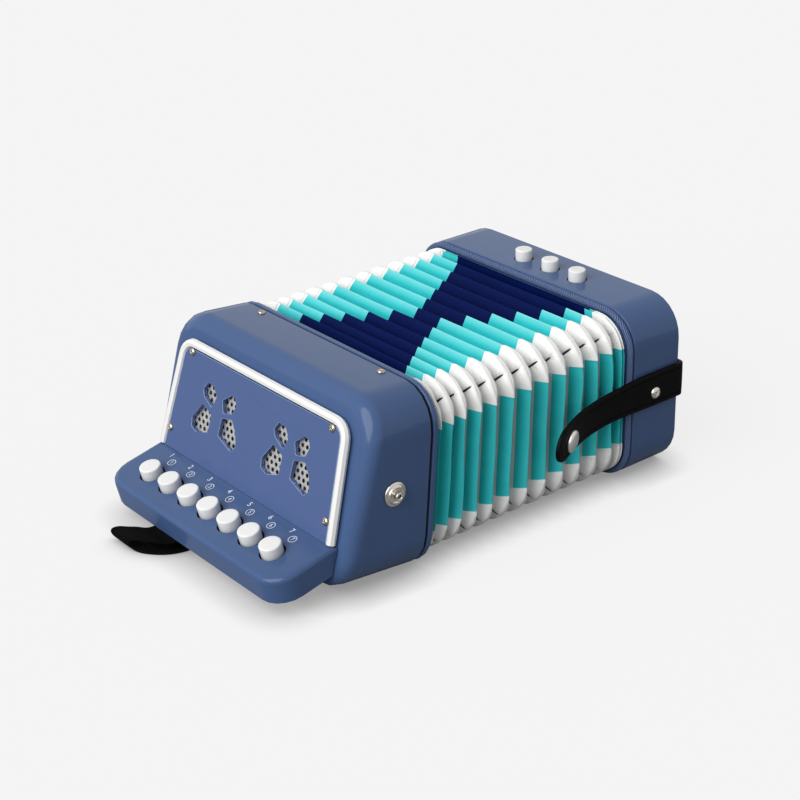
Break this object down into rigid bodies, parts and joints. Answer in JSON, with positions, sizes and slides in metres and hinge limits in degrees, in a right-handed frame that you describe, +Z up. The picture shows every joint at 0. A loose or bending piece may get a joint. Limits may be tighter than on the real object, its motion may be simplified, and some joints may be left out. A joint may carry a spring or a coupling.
{
  "type": "toy button accordion",
  "caption": "Child-size button accordion with a sloped melody keyboard, pleated bellows, bass-side buttons and leather straps.",
  "frame": {"origin": "middle of the overall length and width, on the floor that the accordion lies on", "axes": "+X from the melody end to the bass end along the bellows, +Y to the far side, +Z up"},
  "size_m": [0.2594, 0.17, 0.0903],
  "materials": {
    "blue_plastic": "glossy moulded",
    "white_plastic": "satin moulded",
    "lever_plastic": "as moulded",
    "strap_leather": "soft, creased edges",
    "nickel_steel": "nickel plated",
    "brass": "plain",
    "ply": "sanded",
    "gasket_foam": "closed-cell foam",
    "grille_mesh": "punched sheet",
    "bellows_cloth": "coated cloth on card"
  },
  "bodies": {
    "treble_end": {"treble_housing": "blue_plastic", "grille_plate": "blue_plastic", "grille_mesh": "grille_mesh", "grille_piping": "white_plastic", "keyboard_shelf": "blue_plastic", "shelf_underplate": "blue_plastic", "key_axle": "nickel_steel", "key_springs": "brass", "treble_reed_board": "ply", "treble_reed_plate": "brass", "treble_gasket": "gasket_foam", "treble_bellows_frame": "blue_plastic", "thumb_strap": "strap_leather", "press_stud_near": "nickel_steel", "press_stud_far": "nickel_steel", "grille_screw_lower_left": "brass", "grille_screw_lower_right": "brass", "grille_screw_upper_left": "brass", "grille_screw_upper_right": "brass", "housing_screw_top_left": "nickel_steel", "housing_screw_top_right": "nickel_steel", "housing_screw_bottom_left": "nickel_steel", "housing_screw_bottom_right": "nickel_steel", "bellows": "bellows_cloth"},
    "bass_end": {"bass_housing": "blue_plastic", "rope_trim": "blue_plastic", "bass_bellows_frame": "blue_plastic", "bass_reed_board": "ply", "bass_reed_plate": "brass", "crank_axle": "nickel_steel", "crank_springs": "brass", "hand_strap": "strap_leather", "strap_screw_near": "nickel_steel", "strap_screw_far": "nickel_steel"},
    "key_1": {"key_lever_1": "lever_plastic", "button_1": "white_plastic"},
    "key_2": {"key_lever_2": "lever_plastic", "button_2": "white_plastic"},
    "key_3": {"key_lever_3": "lever_plastic", "button_3": "white_plastic"},
    "key_4": {"key_lever_4": "lever_plastic", "button_4": "white_plastic"},
    "key_5": {"key_lever_5": "lever_plastic", "button_5": "white_plastic"},
    "key_6": {"key_lever_6": "lever_plastic", "button_6": "white_plastic"},
    "key_7": {"key_lever_7": "lever_plastic", "button_7": "white_plastic"},
    "air_button": {"air_button": "white_plastic"},
    "air_crank": {"air_crank": "lever_plastic"},
    "bass_button_1": {"bass_button_1": "white_plastic"},
    "bass_crank_1": {"bass_crank_1": "lever_plastic"},
    "bass_button_2": {"bass_button_2": "white_plastic"},
    "bass_crank_2": {"bass_crank_2": "lever_plastic"},
    "strap_tail_near": {"strap_tail_near": "strap_leather", "snap_cap_near": "nickel_steel"},
    "strap_tail_far": {"strap_tail_far": "strap_leather", "snap_cap_far": "nickel_steel"}
  },
  "joints": [
    {"name": "bellows_pull", "type": "slide", "parent": "treble_end", "child": "bass_end", "axis": [1, 0, 0], "range_m": [-0.097, 0.075], "deforming": ["bellows"]},
    {"name": "key_1_press", "type": "hinge", "parent": "treble_end", "child": "key_1", "pos_m": [-0.07186, 0.04719, 0.02419], "axis": [0, -1, 0], "range_deg": [0, 5.5], "stiffness_Nm_per_rad": 0.06, "springref_deg": -11.46, "deforming": ["key_springs"]},
    {"name": "key_2_press", "type": "hinge", "parent": "treble_end", "child": "key_2", "pos_m": [-0.07186, 0.03146, 0.02419], "axis": [0, -1, 0], "range_deg": [0, 5.5], "stiffness_Nm_per_rad": 0.06, "springref_deg": -11.46},
    {"name": "key_3_press", "type": "hinge", "parent": "treble_end", "child": "key_3", "pos_m": [-0.07186, 0.01573, 0.02419], "axis": [0, -1, 0], "range_deg": [0, 5.5], "stiffness_Nm_per_rad": 0.06, "springref_deg": -11.46},
    {"name": "key_4_press", "type": "hinge", "parent": "treble_end", "child": "key_4", "pos_m": [-0.07186, 0, 0.02419], "axis": [0, -1, 0], "range_deg": [0, 5.5], "stiffness_Nm_per_rad": 0.06, "springref_deg": -11.46},
    {"name": "key_5_press", "type": "hinge", "parent": "treble_end", "child": "key_5", "pos_m": [-0.07186, -0.01573, 0.02419], "axis": [0, -1, 0], "range_deg": [0, 5.5], "stiffness_Nm_per_rad": 0.06, "springref_deg": -11.46},
    {"name": "key_6_press", "type": "hinge", "parent": "treble_end", "child": "key_6", "pos_m": [-0.07186, -0.03146, 0.02419], "axis": [0, -1, 0], "range_deg": [0, 5.5], "stiffness_Nm_per_rad": 0.06, "springref_deg": -11.46},
    {"name": "key_7_press", "type": "hinge", "parent": "treble_end", "child": "key_7", "pos_m": [-0.07186, -0.04719, 0.02419], "axis": [0, -1, 0], "range_deg": [0, 5.5], "stiffness_Nm_per_rad": 0.06, "springref_deg": -11.46},
    {"name": "air_button_press", "type": "slide", "parent": "bass_end", "child": "air_button", "axis": [0, 0, -1], "range_m": [0, 0.0025], "stiffness_N_per_m": 150, "springref_m": -0.003},
    {"name": "air_crank_swing", "type": "hinge", "parent": "bass_end", "child": "air_crank", "pos_m": [0.10635, -0.02316, 0.066], "axis": [0, -1, 0], "range_deg": [0, 16]},
    {"name": "bass_button_1_press", "type": "slide", "parent": "bass_end", "child": "bass_button_1", "axis": [0, 0, -1], "range_m": [0, 0.0025], "stiffness_N_per_m": 150, "springref_m": -0.003},
    {"name": "bass_crank_1_swing", "type": "hinge", "parent": "bass_end", "child": "bass_crank_1", "pos_m": [0.10635, -0.0045, 0.066], "axis": [0, -1, 0], "range_deg": [0, 16]},
    {"name": "bass_button_2_press", "type": "slide", "parent": "bass_end", "child": "bass_button_2", "axis": [0, 0, -1], "range_m": [0, 0.0025], "stiffness_N_per_m": 150, "springref_m": -0.003},
    {"name": "bass_crank_2_swing", "type": "hinge", "parent": "bass_end", "child": "bass_crank_2", "pos_m": [0.10635, 0.01416, 0.066], "axis": [0, -1, 0], "range_deg": [0, 16], "deforming": ["crank_springs"]},
    {"name": "strap_tail_near_swing", "type": "hinge", "parent": "bass_end", "child": "strap_tail_near", "pos_m": [0.09565, -0.075, 0.0444], "axis": [0, 1, 0], "range_deg": [-25, 25]},
    {"name": "strap_tail_far_swing", "type": "hinge", "parent": "bass_end", "child": "strap_tail_far", "pos_m": [0.09565, 0.075, 0.0444], "axis": [0, 1, 0], "range_deg": [-25, 25]}
  ],
  "couplings": [
    {"joint": "air_crank_swing", "follows": "air_button_press", "rad_per_m": 108},
    {"joint": "bass_crank_1_swing", "follows": "bass_button_1_press", "rad_per_m": 108},
    {"joint": "bass_crank_2_swing", "follows": "bass_button_2_press", "rad_per_m": 108}
  ]
}
